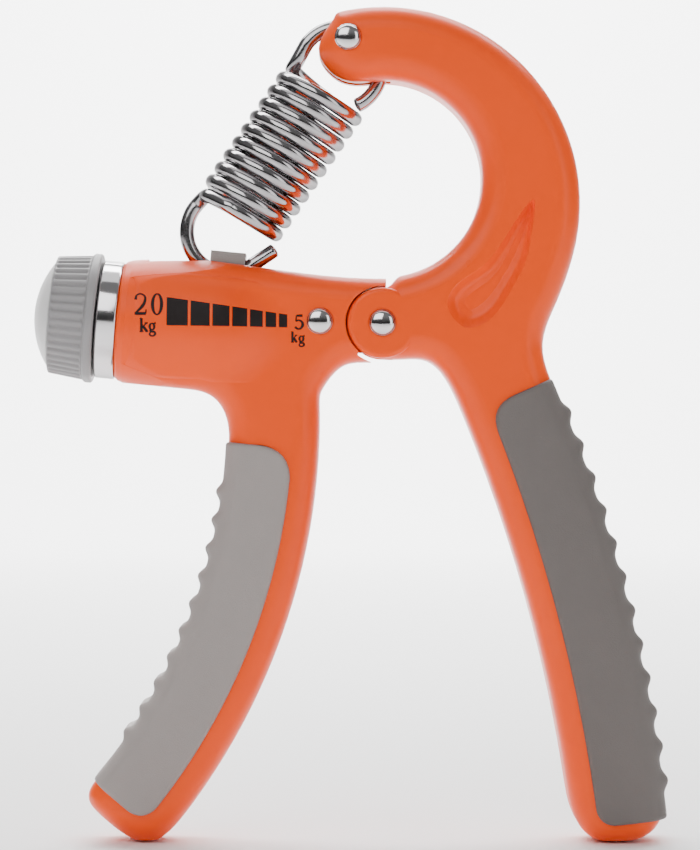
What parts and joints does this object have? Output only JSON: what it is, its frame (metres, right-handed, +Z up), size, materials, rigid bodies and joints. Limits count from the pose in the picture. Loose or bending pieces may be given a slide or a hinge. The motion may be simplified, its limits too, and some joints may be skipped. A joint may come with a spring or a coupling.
{
  "type": "hand grip strengthener",
  "caption": "Hand grip strengthener: pivoted handles with rubber grips, pulled open by a tension spring whose hook is set along a scale by a screw knob.",
  "frame": {"origin": "middle of the bounding box, at the level of the two handle ends it stands on", "axes": "+Z up from the handle ends to the top of the ring, +X from the adjusting knob towards the right handle, -Y out of the front, where the scale is printed"},
  "size_m": [0.1199, 0.0246, 0.1572],
  "materials": {
    "orange_plastic": "satin gloss moulding",
    "left_rubber": "warm grey soft rubber",
    "right_rubber": "darker warm grey soft rubber",
    "polished_steel": "polished dome",
    "collar_steel": "polished turned ring",
    "spring_steel": "bright plated wire",
    "washer_plastic": "white plastic",
    "washer_steel": "plain",
    "screw_steel": "zinc plated",
    "brass": "turned",
    "zinc": "dull grey die casting",
    "knob_plastic": "satin grey",
    "cap_plastic": "satin light grey",
    "scale_ink": "near-black pad print of the scale on the front"
  },
  "bodies": {
    "left": {"left_handle": "orange_plastic", "left_grip": "left_rubber", "stop_post": "polished_steel", "stop_cap": "polished_steel", "collar": "collar_steel", "screw_bearing": "brass", "thrust_washer": "washer_steel", "end_bush": "brass", "pivot_washers": "washer_plastic"},
    "right": {"right_handle": "orange_plastic", "right_grip": "right_rubber", "pivot_post": "polished_steel", "pivot_cap": "polished_steel", "spring_pin_post": "polished_steel", "spring_pin_cap": "polished_steel"},
    "adjuster": {"knob": "knob_plastic", "knob_cap": "cap_plastic", "knob_screw": "screw_steel", "lead_screw": "screw_steel", "retaining_clip": "washer_steel"},
    "slider": {"slider_nut": "zinc"},
    "spring_end": {"spring_hook_end": "spring_steel"},
    "spring_hook": {"spring_lower_hook": "spring_steel"},
    "spring_body": {"spring_coils": "spring_steel"},
    "spring_loop": {"spring_upper_loop": "spring_steel"}
  },
  "joints": [
    {"name": "squeeze", "type": "hinge", "parent": "left", "child": "right", "pos_m": [0.0063, 0, 0.0975], "axis": [0, 1, 0], "range_deg": [0, 30], "stiffness_Nm_per_rad": 9, "springref_deg": -20.05},
    {"name": "knob_turn", "type": "hinge", "parent": "left", "child": "adjuster", "pos_m": [-0.0476, 0, 0.0985], "axis": [0.9954, 0, -0.0958], "range_deg": [-2890, 3250]},
    {"name": "slider_travel", "type": "slide", "parent": "left", "child": "slider", "axis": [0.9954, 0, -0.0958], "range_m": [-0.009, 0.008]},
    {"name": "spring_swing_adjust", "type": "hinge", "parent": "slider", "child": "spring_end", "pos_m": [-0.023, 0, 0.115], "axis": [0, 1, 0], "range_deg": [-8.6, 9.6], "deforming": ["spring_hook_end"]},
    {"name": "spring_swing_squeeze", "type": "hinge", "parent": "spring_end", "child": "spring_hook", "pos_m": [-0.023, 0, 0.115], "axis": [0, 1, 0], "range_deg": [0, 24.1], "deforming": ["spring_lower_hook"]},
    {"name": "spring_stretch_adjust", "type": "slide", "parent": "spring_hook", "child": "spring_body", "axis": [0.5651, 0, 0.825], "range_m": [-0.0045, 0.005], "deforming": ["spring_coils"]},
    {"name": "spring_stretch_squeeze", "type": "slide", "parent": "spring_body", "child": "spring_loop", "axis": [0.5651, 0, 0.825], "range_m": [0, 0.0171], "deforming": ["spring_upper_loop"]}
  ],
  "couplings": [
    {"joint": "knob_turn", "follows": "slider_travel", "rad_per_m": -6283.2},
    {"joint": "spring_swing_adjust", "follows": "slider_travel", "rad_per_m": -18.326},
    {"joint": "spring_stretch_adjust", "follows": "slider_travel", "ratio": -0.55},
    {"joint": "spring_swing_squeeze", "follows": "squeeze", "ratio": 0.8},
    {"joint": "spring_stretch_squeeze", "follows": "squeeze", "m_per_rad": 0.0325}
  ]
}
